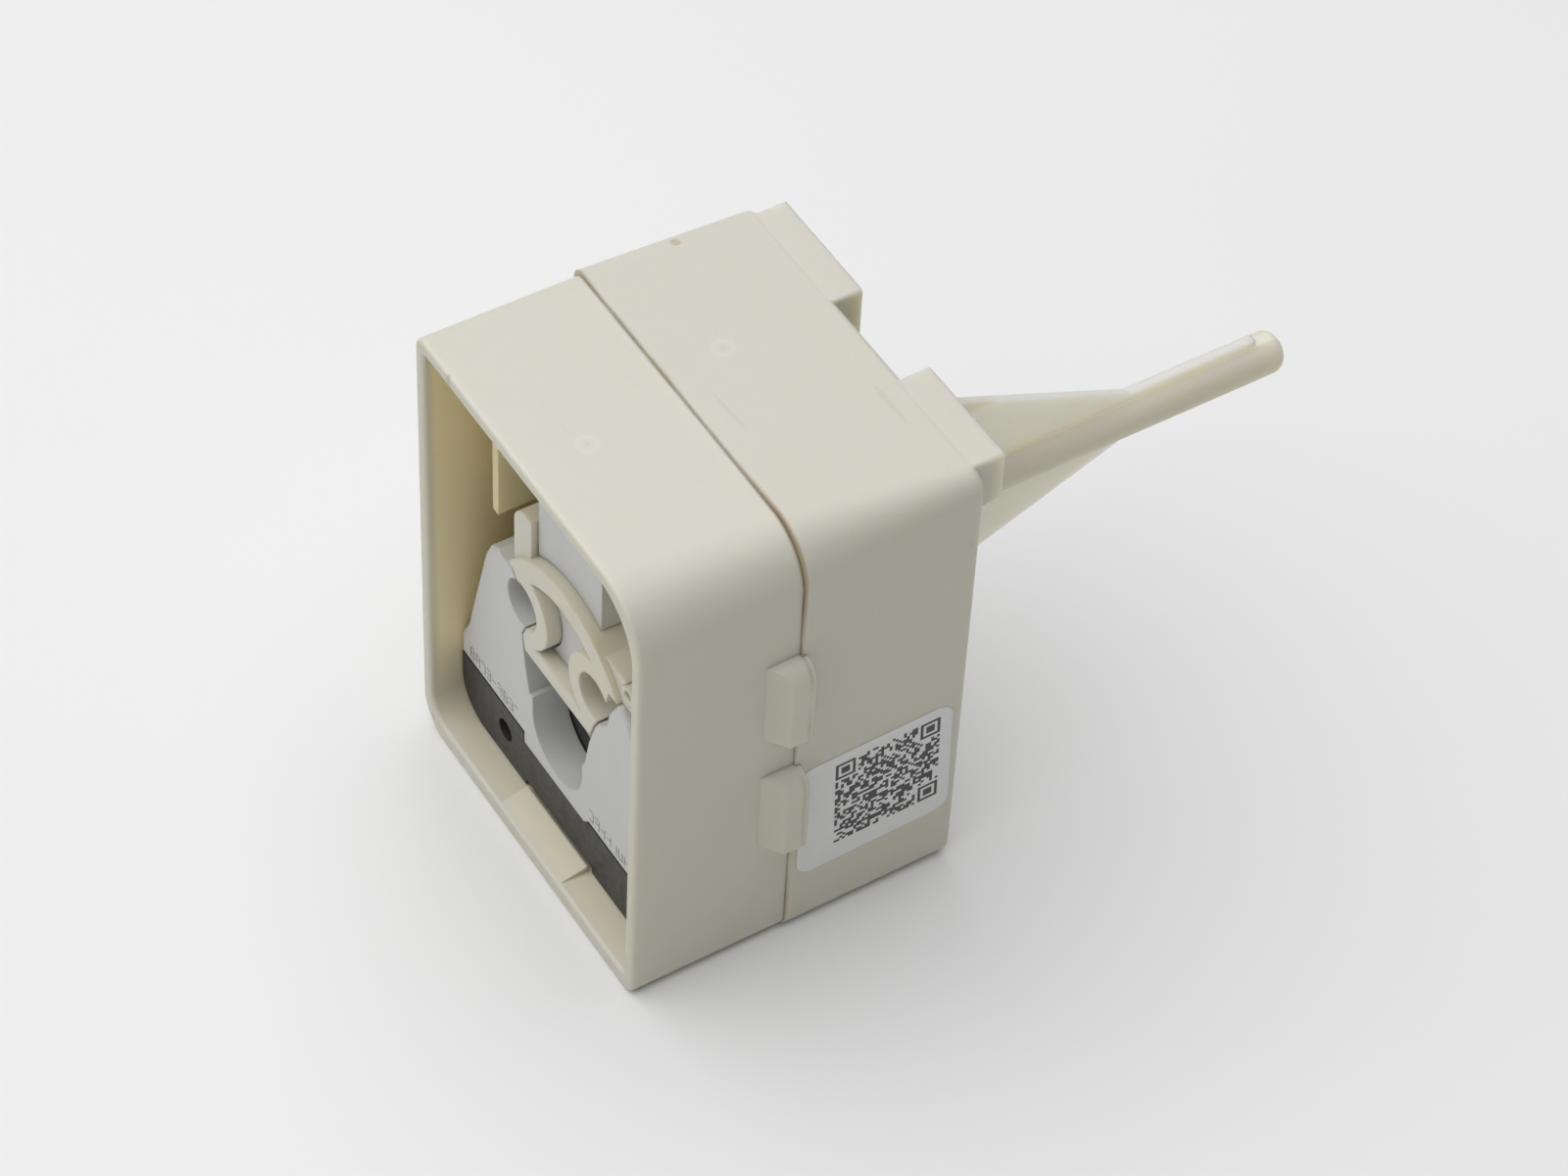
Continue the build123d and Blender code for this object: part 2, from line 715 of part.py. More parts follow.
with BuildPart() as heater_strip:
    with BuildSketch(across(chamber_front)):
        with Locations((0, chamber_z)):
            Circle(heater_radius + heater_width / 2)
            Circle(heater_radius - heater_width / 2, mode=Mode.SUBTRACT)
        with Locations((0, chamber_z - heater_radius)):
            Rectangle(heater_width, 2 * heater_width, mode=Mode.SUBTRACT)
    extrude(amount=-heater_thickness)
write(heater_strip.part, "heater_strip")

# ---- Starter ----
def pocket_outline(clearance):
    """Inside of the arch between the two bosses, drawn smaller by a clearance."""
    with Locations(arch_centre):
        Circle(arch_inner_radius - clearance)
    half_height = arch_inner_radius
    with Locations((arch_centre[0], pocket_low + clearance - half_height)):
        Rectangle(4 * arch_inner_radius, 2 * half_height, mode=Mode.SUBTRACT)
    for side in (-1, 1):
        with Locations((side * pin_spread, pin_high)):
            Circle(boss_outer_radius + clearance, mode=Mode.SUBTRACT)
        with Locations((side * (pin_spread + arch_inner_radius), pin_high)):
            Rectangle(2 * arch_inner_radius, 4 * arch_inner_radius, mode=Mode.SUBTRACT)


def beside_wing(low, high, gap):
    """Corner of the cover's foot: on the wing's edge from low to high, moved off it by a gap."""
    share = (cover_lower_edge - low[1]) / (high[1] - low[1])
    return (low[0] + share * (high[0] - low[0]) + gap, cover_lower_edge)


with BuildPart() as starter_base:
    with BuildSketch(across(starter_front)):
        with Locations((0, (starter_low + starter_shoulder) / 2)):
            Rectangle(2 * starter_half_width, starter_shoulder - starter_low)
        fillet(vertices(), radius=0.8)
    extrude(amount=-starter_depth)
    with BuildSketch(across(starter_tower_front)):
        with Locations((0, (starter_tower_low + starter_tower_top) / 2)):
            Rectangle(2 * starter_tower_half_width, starter_tower_top - starter_tower_low)
        fillet(vertices(), radius=0.5)
    extrude(amount=-(starter_back - starter_tower_front))
    with BuildSketch(across(starter_tower_front)):
        with Locations(arch_centre):
            Circle(arch_outer_radius + cover_gap)
    extrude(amount=-(starter_front - starter_tower_front), mode=Mode.SUBTRACT)
    # Raised panel that shows through the pocket of the cover.
    with BuildSketch(across(pocket_floor_depth)):
        pocket_outline(cover_gap)
    extrude(amount=-(starter_front - pocket_floor_depth))
    # Chamber for the ceramic pill and its springs, open at the back.
    with BuildSketch(across(starter_back)):
        with Locations((0, pill_z)):
            Rectangle(2 * starter_chamber_half_width, 2 * (pill_radius + insert_clearance))
    extrude(amount=pill_chamber_depth, mode=Mode.SUBTRACT)
    for side in (-1, 1):
        with BuildSketch(across(starter_front)):
            with Locations((side * pin_spread, pin_high)):
                Circle(socket_outer_radius + seat_clearance)
        extrude(amount=-(pin_socket_front - starter_front + socket_length), mode=Mode.SUBTRACT)
        with BuildSketch(across(starter_front)):
            with Locations((side * pin_spread, pin_high)):
                Rectangle(blade_thickness + 2 * seat_clearance, blade_height + 2 * seat_clearance)
        extrude(amount=-starter_depth, mode=Mode.SUBTRACT)
write(starter_base.part, "starter_base")

with BuildPart() as starter_back_cap:
    with BuildSketch(across(starter_back)):
        with Locations((0, (starter_low + starter_shoulder) / 2)):
            Rectangle(2 * starter_half_width, starter_shoulder - starter_low)
        with Locations((0, (starter_shoulder + starter_tower_top) / 2 - 1)):
            Rectangle(2 * starter_tower_half_width, starter_tower_top - starter_shoulder + 2)
        with Locations((-pin_spread, pin_high), (pin_spread, pin_high)):
            Rectangle(
                blade_thickness + 2 * seat_clearance, blade_height + 2 * seat_clearance, mode=Mode.SUBTRACT
            )
    extrude(amount=-starter_cap_thickness)
write(starter_back_cap.part, "starter_back_cap")

for side, name_of_pin in ((-1, "start"), (1, "run")):
    pin_place = (side * pin_spread, pin_high)
    pin_socket(pin_place, pin_socket_front, f"{name_of_pin}_socket")
    flat_terminal(pin_place, pin_socket_front + socket_length, f"{name_of_pin}_blade")

pill_middle = starter_back - pill_chamber_depth / 2
with BuildPart() as ptc_pill:
    with BuildSketch(upright(0)):
        with Locations((rim_y + pill_middle, pill_z)):
            Circle(pill_radius)
    extrude(amount=pill_thickness / 2, both=True)
    fillet(ptc_pill.edges().filter_by(GeomType.CIRCLE), radius=0.4)
write(ptc_pill.part, "ptc_pill")

for side, name_of_side in ((-1, "left"), (1, "right")):
    near = side * (pill_thickness / 2 + spring_gap)
    far = side * (starter_chamber_half_width - spring_gap - spring_thickness)
    back = side * spring_thickness
    first = rim_y + pill_middle - pill_radius + 0.6
    last = rim_y + pill_middle + pill_radius - 0.6
    with BuildPart() as ptc_spring:
        with BuildSketch(Plane.XY.offset(pill_z)):
            with BuildLine():
                ThreePointArc((far, first), (near, (first + last) / 2), (far, last))
                Line((far, last), (far + back, last))
                ThreePointArc((far + back, last), (near + back, (first + last) / 2), (far + back, first))
                Line((far + back, first), (far, first))
            make_face()
        extrude(amount=spring_height / 2, both=True)
    write(ptc_spring.part, f"{name_of_side}_ptc_spring")

with BuildPart() as starter_cover:
    tower_side = starter_tower_half_width + cover_gap
    arch_left_z = arch_centre[1] + math.sqrt(arch_outer_radius**2 - (tower_side + arch_centre[0])**2)
    arch_right_x = arch_centre[0] + math.sqrt(arch_outer_radius**2 - (cover_top_right - arch_centre[1])**2)
    with BuildSketch(across(face_depth)):
        with BuildLine():
            Polyline(
                (-tower_side, arch_left_z),
                (-tower_side, cover_top_left),
                (cover_left_x, cover_top_left),
                (cover_left_x, wing_top + piece_gap),
                (cover_outline_left[0][0] + cover_gap, wing_top + piece_gap),
                (cover_outline_left[1][0] + cover_gap, cover_outline_left[1][1]),
                (cover_outline_left[2][0] + cover_gap, cover_outline_left[2][1]),
                beside_wing(cover_outline_left[3], cover_outline_left[2], foot_gap),
                beside_wing(cover_outline_right[1], cover_outline_right[2], -foot_gap),
                (pin_spread, pin_high - 4.5),
                (pin_spread + 1.4, pin_high - 1.9),
                (pin_spread + 2.6, pin_high + 2.0),
                (pin_spread + 3.2, wing_top + piece_gap),
                (insert_half_width, wing_top + piece_gap),
                (insert_half_width, cover_top_right),
                (arch_right_x, cover_top_right),
            )
            ThreePointArc(
                (arch_right_x, cover_top_right),
                (arch_centre[0], arch_centre[1] + arch_outer_radius),
                (-tower_side, arch_left_z),
            )
        make_face()
        with Locations((-pin_spread, pin_high), (pin_spread, pin_high)):
            Circle(boss_inner_radius, mode=Mode.SUBTRACT)
        with Locations((eyelet_x, eyelet_z)):
            Circle(eyelet_radius + seat_clearance, mode=Mode.SUBTRACT)
    extrude(amount=-(starter_front - face_depth))
    upright_edges = starter_cover.edges().filter_by(Axis.Y)
    top_left_edge = upright_edges.sort_by(lambda edge: edge.center().X - edge.center().Z)[0]
    fillet(top_left_edge, radius=cover_corner_round)
    # The face outside the arch lies deeper than the arch itself.
    with BuildSketch(across(face_depth)):
        Rectangle(4 * arch_outer_radius, 8 * arch_outer_radius)
        with Locations(arch_centre):
            Circle(arch_outer_radius, mode=Mode.SUBTRACT)
        with Locations((arch_centre[0], arch_centre[1] - 2 * arch_outer_radius)):
            Rectangle(4 * arch_outer_radius, 4 * arch_outer_radius, mode=Mode.SUBTRACT)
    extrude(amount=-cover_drop, mode=Mode.SUBTRACT)
    # Pocket between the two bosses, under the arch.
    with BuildSketch(across(face_depth)):
        pocket_outline(0)
    extrude(amount=-(starter_front - face_depth), mode=Mode.SUBTRACT)
write(starter_cover.part, "starter_cover")

with BuildPart() as cover_eyelet:
    with BuildSketch(across(face_depth + cover_drop - eyelet_proud)):
        with Locations((eyelet_x, eyelet_z)):
            Circle(eyelet_radius)
            Circle(eyelet_hole, mode=Mode.SUBTRACT)
    extrude(amount=-(starter_front - face_depth - cover_drop + eyelet_proud))
write(cover_eyelet.part, "cover_eyelet")
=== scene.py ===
# Looks of a plug-on compressor start device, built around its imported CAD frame.
import json
import math
import random
import bmesh
import bpy
from mathutils import Matrix, Vector


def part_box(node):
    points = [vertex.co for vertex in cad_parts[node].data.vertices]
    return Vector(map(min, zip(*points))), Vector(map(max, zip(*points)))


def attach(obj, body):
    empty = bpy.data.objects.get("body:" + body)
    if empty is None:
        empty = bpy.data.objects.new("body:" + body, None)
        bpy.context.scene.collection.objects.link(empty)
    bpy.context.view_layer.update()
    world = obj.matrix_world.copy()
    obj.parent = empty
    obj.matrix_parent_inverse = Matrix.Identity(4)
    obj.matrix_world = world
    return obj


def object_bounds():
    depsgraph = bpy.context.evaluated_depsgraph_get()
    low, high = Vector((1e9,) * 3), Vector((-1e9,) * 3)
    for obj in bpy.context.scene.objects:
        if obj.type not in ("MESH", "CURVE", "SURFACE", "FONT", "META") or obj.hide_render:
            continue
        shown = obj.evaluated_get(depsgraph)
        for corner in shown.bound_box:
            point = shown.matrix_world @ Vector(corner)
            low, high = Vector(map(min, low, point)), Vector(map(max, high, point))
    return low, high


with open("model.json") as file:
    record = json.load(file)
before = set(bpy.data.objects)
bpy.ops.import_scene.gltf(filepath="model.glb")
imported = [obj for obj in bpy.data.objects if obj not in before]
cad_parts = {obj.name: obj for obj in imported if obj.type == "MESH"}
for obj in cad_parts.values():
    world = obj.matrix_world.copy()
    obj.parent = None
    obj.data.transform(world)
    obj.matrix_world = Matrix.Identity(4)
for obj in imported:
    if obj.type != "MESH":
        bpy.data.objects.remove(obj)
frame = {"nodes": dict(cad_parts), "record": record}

cad_bounds = [list(corner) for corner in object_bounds()]
MM = 0.001
collection = bpy.context.scene.collection

# ---- Places on the object, in metres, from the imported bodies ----
frame_low, frame_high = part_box("front_frame")
rear_low, rear_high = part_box("rear_housing")
LABEL_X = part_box("label")[1].x
RIM_Y = frame_low.y
SEAM_Y = rear_low.y
BACK_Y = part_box("run_blade")[1].y + 1.2 * MM  # back face of the rear housing, just past the blades' ends
FACE_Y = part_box("protector_cover")[0].y
ROOF_Z = frame_high.z
SIDE_X = rear_high.x
TOP_RIGHT_ROUND = 8.5 * MM
BOTTOM_LEFT_ROUND = 5.0 * MM
WEB_X = 11.0 * MM  # middle of the thin web under and over the tail arm's rod
ROOF_MARKS = ((-0.5 * MM, RIM_Y + 8.0 * MM), (-5.5 * MM, RIM_Y + 28.0 * MM))
ROOF_MARK_RADIUS = 1.5 * MM

# ---- Colours ----
IVORY = (0.700, 0.680, 0.605)
IVORY_WARM = (0.695, 0.668, 0.585)
# painted shade: darker, warmer colour laid on upright walls
SIDE_SHADE_COLOUR = (0.560, 0.545, 0.410)
# painted light: pale glow colour for the arm's thin web, lit from behind
WEB_GLOW_COLOUR = (0.790, 0.772, 0.695)
# painted shade and bounce light inside the housing's walls, near the rim and deep inside
INSIDE_SHADE_NEAR = (0.880, 0.790, 0.500)
INSIDE_SHADE_DEEP = (0.840, 0.720, 0.400)
# tan grime in the seam, partly painted shade in its crease
SEAM_GRIME_AND_SHADE = (0.36, 0.27, 0.16)
FLECK_BROWN = (0.42, 0.34, 0.22)
SCRATCH_BROWN = (0.46, 0.41, 0.32)
MARK_PALE = (0.80, 0.79, 0.74)
MARK_DARK = (0.55, 0.50, 0.42)
COVER_IVORY = (0.690, 0.670, 0.590)
COVER_WARM = (0.680, 0.645, 0.530)
DEVICE_GREY = (0.620, 0.622, 0.605)
DEVICE_GREY_WARM = (0.605, 0.605, 0.587)
PHENOLIC_BLACK = (0.032, 0.032, 0.031)
PHENOLIC_BLACK_WARM = (0.026, 0.026, 0.025)
LABEL_WHITE = (0.77, 0.77, 0.755)
LABEL_INK = (0.045, 0.045, 0.045)
WING_INK = (0.24, 0.24, 0.24)
TIN = (0.72, 0.71, 0.69)
BRASS = (0.80, 0.62, 0.33)
SILVER = (0.80, 0.80, 0.79)
BIMETAL = (0.52, 0.50, 0.47)
CERAMIC_DARK = (0.20, 0.20, 0.21)
CERAMIC_PALE = (0.33, 0.32, 0.31)
FLOOR_PALE = (0.90, 0.90, 0.905)
FLOOR_DIM = (0.895, 0.895, 0.90)
SKY = (0.97, 0.98, 1.0, 1.0)
LIGHT_SPREAD = (1.0, 0.85, 0.5)  # how far red, green and blue light travel inside the ivory plastic


def dimmed(colour, share):
    return tuple(share * channel for channel in colour)


# ---- Materials ----
class Shader:
    """A small wrapper round a material's node tree, ending in one Principled shader."""

    def __init__(self, name, roughness, specular=0.5, metallic=0.0):
        self.material = bpy.data.materials.new(name)
        self.material.use_nodes = True
        self.tree = self.material.node_tree
        self.tree.nodes.clear()
        output = self.add("ShaderNodeOutputMaterial")
        self.principled = self.add("ShaderNodeBsdfPrincipled")
        self.principled.inputs["Roughness"].default_value = roughness
        self.principled.inputs["Specular IOR Level"].default_value = specular
        self.principled.inputs["Metallic"].default_value = metallic
        self.link(self.principled.outputs[0], output.inputs[0])
        coordinates = self.add("ShaderNodeTexCoord")
        self.place = coordinates.outputs["Object"]
        self.facing = coordinates.outputs["Normal"]

    def add(self, kind, **settings):
        node = self.tree.nodes.new(kind)
        for key, value in settings.items():
            setattr(node, key, value)
        return node

    def link(self, source, target):
        self.tree.links.new(source, target)

    def noise(self, scale, detail, stretch=(1, 1, 1)):
        """Noise with this many features per metre."""
        mapping = self.add("ShaderNodeMapping")
        mapping.inputs["Scale"].default_value = stretch
        self.link(self.place, mapping.inputs["Vector"])
        node = self.add("ShaderNodeTexNoise")
        node.inputs["Scale"].default_value = scale
        node.inputs["Detail"].default_value = detail
        self.link(mapping.outputs[0], node.inputs["Vector"])
        return node.outputs["Fac"]

    def remap(self, value, low, high, to_low=0.0, to_high=1.0):
        """Straight ramp, held level beyond low and high; low may be above high."""
        node = self.add("ShaderNodeMapRange")
        for socket, number in zip(node.inputs[1:5], (low, high, to_low, to_high)):
            socket.default_value = number
        self.link(value, node.inputs[0])
        return node.outputs[0]

    def math(self, operation, first, second=0.0):
        """One sum on two values, each a number or a socket."""
        node = self.add("ShaderNodeMath", operation=operation)
        for socket, value in zip(node.inputs, (first, second)):
            if isinstance(value, (int, float)):
                socket.default_value = value
            else:
                self.link(value, socket)
        return node.outputs[0]

    def combine(self, operation, first, *others):
        """The same sum carried along a row of values."""
        for other in others:
            first = self.math(operation, first, other)
        return first

    def distance(self, first, second):
        """Length of a flat vector with these two parts."""
        squares = [self.math("MULTIPLY", part, part) for part in (first, second)]
        return self.math("SQRT", self.math("ADD", *squares))

    def mix(self, factor, first, second):
        """Mix of two colours, each a tuple or a socket."""
        node = self.add("ShaderNodeMix", data_type="RGBA")
        self.link(factor, node.inputs[0])
        for socket, value in zip((node.inputs[6], node.inputs[7]), (first, second)):
            if isinstance(value, tuple):
                socket.default_value = (*value, 1.0)
            else:
                self.link(value, socket)
        return node.outputs[2]

    def stain(self, base, mask, strength, colour):
        """Lays a colour over the base where the mask is, at this strength."""
        return self.mix(self.math("MULTIPLY", mask, strength), base, colour)

    def split(self, vector, index):
        node = self.add("ShaderNodeSeparateXYZ")
        self.link(vector, node.inputs[0])
        return node.outputs[index]

    def axis(self, index):
        return self.split(self.place, index)

    def set(self, name, value):
        self.link(value, self.principled.inputs[name])

    def bump(self, height, distance, strength, edge_radius=0.0):
        """Bump from a height socket; edge_radius rounds the look of sharp edges."""
        node = self.add("ShaderNodeBump")
        node.inputs["Strength"].default_value = strength
        node.inputs["Distance"].default_value = distance
        self.link(height, node.inputs["Height"])
        if edge_radius:
            bevel = self.add("ShaderNodeBevel", samples=6)
            bevel.inputs["Radius"].default_value = edge_radius
            self.link(bevel.outputs[0], node.inputs["Normal"])
        self.link(node.outputs[0], self.principled.inputs["Normal"])


def moulded_plastic(name, colour, warm, roughness, grain, edge_radius, translucency=0.0, tint=None):
    """Moulded thermoplastic: cloudy colour, fine grain, flow variation in gloss and worn edges."""
    shader = Shader(name, roughness)
    clouds = shader.remap(shader.noise(38, 3.0), 0.35, 0.65)
    base = shader.mix(clouds, colour, warm)
    specks = shader.remap(shader.noise(2600, 1.0), 0.74, 0.80)
    base = shader.stain(base, specks, 0.25, dimmed(colour, 0.55))
    if tint is not None:
        base = tint(shader, base)
    shader.set("Base Color", base)
    scuffs = shader.remap(shader.noise(260, 4.0, (1.0, 0.12, 0.5)), 0.56, 0.70)
    gloss = shader.remap(shader.noise(900, 3.0), 0.3, 0.7, roughness - 0.05, roughness + 0.06)
    shader.set("Roughness", shader.math("ADD", gloss, shader.math("MULTIPLY", scuffs, 0.08)))
    fine = shader.math("MULTIPLY", shader.noise(5200, 2.0), grain)
    coarse = shader.math("MULTIPLY", shader.noise(420, 2.0), 0.5)
    shader.bump(shader.math("ADD", fine, coarse), 0.02 * MM, 0.6, edge_radius)
    if translucency:
        on_arm = shader.remap(shader.axis(1), BACK_Y, BACK_Y + 3 * MM)
        shader.set("Subsurface Weight", shader.remap(on_arm, 0, 1, translucency, 1.0))
        shader.set("Subsurface Scale", shader.remap(on_arm, 0, 1, 1.6 * MM, 5 * MM))
        shader.principled.inputs["Subsurface Radius"].default_value = LIGHT_SPREAD
    return shader.material


def inside_corner(shader, past_side, past_height, radius):
    """How deep a point lies inside one rounded corner of the housing's outline."""
    sideways = shader.math("MAXIMUM", past_side, 0)
    upward = shader.math("MAXIMUM", past_height, 0)
    return shader.math("SUBTRACT", radius, shader.distance(sideways, upward))


def inside_mask(shader):
    """1 on the surfaces inside the housing's walls, 0 on its outer skin and its arm."""
    across, along, up = (shader.axis(index) for index in range(3))
    top_right = inside_corner(
        shader,
        shader.math("SUBTRACT", across, SIDE_X - TOP_RIGHT_ROUND),
        shader.math("SUBTRACT", up, ROOF_Z - TOP_RIGHT_ROUND),
        TOP_RIGHT_ROUND,
    )
    bottom_left = inside_corner(
        shader,
        shader.math("SUBTRACT", shader.math("MULTIPLY", across, -1), SIDE_X - BOTTOM_LEFT_ROUND),
        shader.math("SUBTRACT", BOTTOM_LEFT_ROUND, up),
        BOTTOM_LEFT_ROUND,
    )
    from_side = shader.math("SUBTRACT", SIDE_X, shader.math("ABSOLUTE", across))
    from_roof = shader.math("SUBTRACT", ROOF_Z, up)
    depth = shader.combine("MINIMUM", from_side, from_roof, up, top_right, bottom_left)
    past_wall = shader.remap(depth, 1.0 * MM, 1.9 * MM)
    before_back = shader.remap(along, BACK_Y, BACK_Y - 0.5 * MM)
    behind_rim = shader.remap(along, RIM_Y + 0.3 * MM, RIM_Y + 1.5 * MM)
    return shader.combine("MULTIPLY", past_wall, before_back, behind_rim)


def side_painted_shade(shader, base):
    """Painted shade: a darker, warmer colour where a wall stands upright, standing in for the dim warm
    light on the sides.
    """
    upright = shader.remap(shader.split(shader.facing, 2), 0.8, 0.2)
    return shader.stain(base, upright, 0.5, SIDE_SHADE_COLOUR)


def web_painted_glow(shader, base):
    """Painted light: paler colour on the arm's thin web, standing in for light that shines through it."""
    from_web = shader.math("ABSOLUTE", shader.math("SUBTRACT", shader.axis(0), WEB_X))
    near_web = shader.remap(from_web, 0.8 * MM, 0.65 * MM)
    behind = shader.remap(shader.axis(1), BACK_Y, BACK_Y + MM)
    under_tongues = shader.remap(shader.axis(2), ROOF_Z - 5 * MM, ROOF_Z - 6 * MM)
    return shader.mix(shader.combine("MULTIPLY", near_web, behind, under_tongues), base, WEB_GLOW_COLOUR)


def inside_painted_shade(shader, base):
    """Painted shade: olive colour of shade and warm bounce light inside the walls, stronger farther in and
    weaker near the floor.
    """
    deeper = shader.remap(shader.axis(1), RIM_Y, SEAM_Y)
    above_floor = shader.remap(shader.axis(2), 6 * MM, 16 * MM, 0.35, 1.0)
    olive = shader.mix(deeper, INSIDE_SHADE_NEAR, INSIDE_SHADE_DEEP)
    return shader.stain(base, inside_mask(shader), above_floor, olive)


def seam_grime_and_shade(shader, base):
    """Tan grime and painted shade in the seam's crease, in patches, and all along the big bend of the
    roof.
    """
    from_seam = shader.math("ABSOLUTE", shader.math("SUBTRACT", shader.axis(1), SEAM_Y))
    line = shader.remap(from_seam, 0.05 * MM, 0.42 * MM, 1.0, 0.0)
    to_the_right = shader.remap(shader.axis(0), 8 * MM, 19 * MM)
    high_up = shader.remap(shader.axis(2), 48 * MM, 56 * MM)
    bend = shader.math("MULTIPLY", to_the_right, high_up)
    patches = shader.remap(shader.noise(120, 2.0), 0.38, 0.62, 0.0, 0.5)
    grime_and_shade = shader.math("MULTIPLY", line, shader.math("MAXIMUM", patches, bend))
    return shader.stain(base, grime_and_shade, 0.85, SEAM_GRIME_AND_SHADE)


def wear(shader, base):
    """Small brown flecks and faint scratches."""
    flecks = shader.remap(shader.noise(330, 1.0, (1.0, 0.55, 0.8)), 0.775, 0.80)
    base = shader.stain(base, flecks, 0.45, FLECK_BROWN)
    scratches = shader.remap(shader.noise(210, 1.0, (0.25, 2.6, 1.0)), 0.765, 0.785)
    return shader.stain(base, scratches, 0.15, SCRATCH_BROWN)


def roof_mark(shader, base, x, y):
    """Round witness mark in the roof: a pale smudged ring with a darker dot."""
    radius = ROOF_MARK_RADIUS
    from_middle = shader.distance(
        shader.math("SUBTRACT", shader.axis(0), x),
        shader.math("SUBTRACT", shader.axis(1), y),
    )
    wobble = shader.math("MULTIPLY", shader.math("SUBTRACT", shader.noise(1500, 2.0), 0.5), 0.9 * MM)
    smudged = shader.math("ADD", from_middle, wobble)
    on_roof = shader.remap(shader.axis(2), ROOF_Z - 1.5 * MM, ROOF_Z - 1.0 * MM)
    inner_edge = shader.remap(smudged, 0.35 * radius, 0.75 * radius)
    outer_edge = shader.remap(smudged, radius, 0.8 * radius)
    base = shader.stain(base, shader.combine("MULTIPLY", inner_edge, outer_edge, on_roof), 0.30, MARK_PALE)
    dot = shader.remap(from_middle, 0.20 * radius, 0.10 * radius)
    return shader.stain(base, shader.math("MULTIPLY", dot, on_roof), 0.25, MARK_DARK)


def housing_tint(shader, base):
    """Painted shade and light, seam grime, wear and roof marks laid over the housing's plain ivory."""
    for layer in (side_painted_shade, web_painted_glow, inside_painted_shade, seam_grime_and_shade, wear):
        base = layer(shader, base)
    for x, y in ROOF_MARKS:
        base = roof_mark(shader, base, x, y)
    return base


def metal(name, colour, roughness, grain_stretch=(1, 0.1, 1)):
    """Rolled or plated strip with fine drawing lines and slight tarnish."""
    shader = Shader(name, roughness, metallic=1.0)
    tarnish = shader.remap(shader.noise(220, 3.0), 0.35, 0.70)
    shader.set("Base Color", shader.mix(tarnish, colour, dimmed(colour, 0.78)))
    lines = shader.noise(3400, 3.0, grain_stretch)
    shader.set("Roughness", shader.remap(lines, 0.3, 0.7, roughness - 0.08, roughness + 0.10))
    shader.bump(lines, 0.012 * MM, 0.5, 0.08 * MM)
    return shader.material


def paper(name, colour):
    """Coated label stock with a faint fibre mottle."""
    shader = Shader(name, 0.42)
    mottle = shader.remap(shader.noise(700, 4.0), 0.3, 0.7)
    shader.set("Base Color", shader.mix(mottle, colour, dimmed(colour, 0.97)))
    shader.set("Roughness", shader.remap(shader.noise(1500, 2.0), 0.3, 0.7, 0.38, 0.47))
    shader.bump(shader.noise(900, 3.0), 0.02 * MM, 0.4)
    return shader.material


def ceramic(name):
    """Fired pill with a dark granular surface."""
    shader = Shader(name, 0.6)
    grain = shader.remap(shader.noise(1800, 4.0), 0.35, 0.65)
    shader.set("Base Color", shader.mix(grain, CERAMIC_DARK, CERAMIC_PALE))
    shader.set("Roughness", shader.remap(grain, 0, 1, 0.5, 0.7))
    shader.bump(grain, 0.04 * MM, 0.6)
    return shader.material


def floor_paper(name):
    """Pale seamless backdrop."""
    shader = Shader(name, 0.9, specular=0.1)
    mottle = shader.remap(shader.noise(14, 3.0), 0.35, 0.65)
    shader.set("Base Color", shader.mix(mottle, FLOOR_PALE, FLOOR_DIM))
    shader.bump(shader.noise(1200, 2.0), 0.02 * MM, 0.3)
    return shader.material


label_ink = paper("label_ink", LABEL_INK)
wing_ink = paper("wing_ink", WING_INK)
backdrop = floor_paper("backdrop")
SLOT_MATERIALS = {
    "housing": moulded_plastic(
        "housing_ivory", IVORY, IVORY_WARM, 0.42, 0.9, 0.35 * MM, translucency=0.35, tint=housing_tint
    ),
    "cover_plastic": moulded_plastic(
        "cover_ivory", COVER_IVORY, COVER_WARM, 0.42, 0.9, 0.45 * MM, translucency=0.35
    ),
    "grey_plastic": moulded_plastic("device_grey", DEVICE_GREY, DEVICE_GREY_WARM, 0.45, 1.2, 0.30 * MM),
    "black_plastic": moulded_plastic(
        "phenolic_black", PHENOLIC_BLACK, PHENOLIC_BLACK_WARM, 0.45, 1.4, 0.15 * MM
    ),
    "label": paper("label_stock", LABEL_WHITE),
    "tinned_metal": metal("tin_plate", TIN, 0.32),
    "brass": metal("brass_strip", BRASS, 0.34),
    "silver": metal("silver_alloy", SILVER, 0.30),
    "bimetal": metal("bimetal_strip", BIMETAL, 0.36, (1, 1, 0.1)),
    "ceramic": ceramic("fired_ceramic"),
}
for subpart in frame["record"]["subparts"]:
    materials = frame["nodes"][subpart["node"]].data.materials
    materials.clear()
    materials.append(SLOT_MATERIALS[subpart["material_slot"]])


# ---- Pieces: what is printed on the label and on the protector's wings ----
def finish_mesh(builder, name, material, body):
    """Turns a bmesh into a piece that rides on a body."""
    bmesh.ops.recalc_face_normals(builder, faces=builder.faces)
    mesh = bpy.data.meshes.new(name)
    builder.normal_update()
    builder.to_mesh(mesh)
    builder.free()
    mesh.materials.append(material)
    piece = bpy.data.objects.new(name, mesh)
    collection.objects.link(piece)
    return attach(piece, body)


def add_plate(builder, outline, into, out_of):
    """Thin closed plate from a four-cornered outline, sunk by one vector and proud by another."""
    front = [builder.verts.new(point + out_of) for point in outline]
    back = [builder.verts.new(point + into) for point in outline]
    builder.faces.new(front)
    builder.faces.new(list(reversed(back)))
    for corner in range(4):
        builder.faces.new((front[corner - 1], back[corner - 1], back[corner], front[corner]))


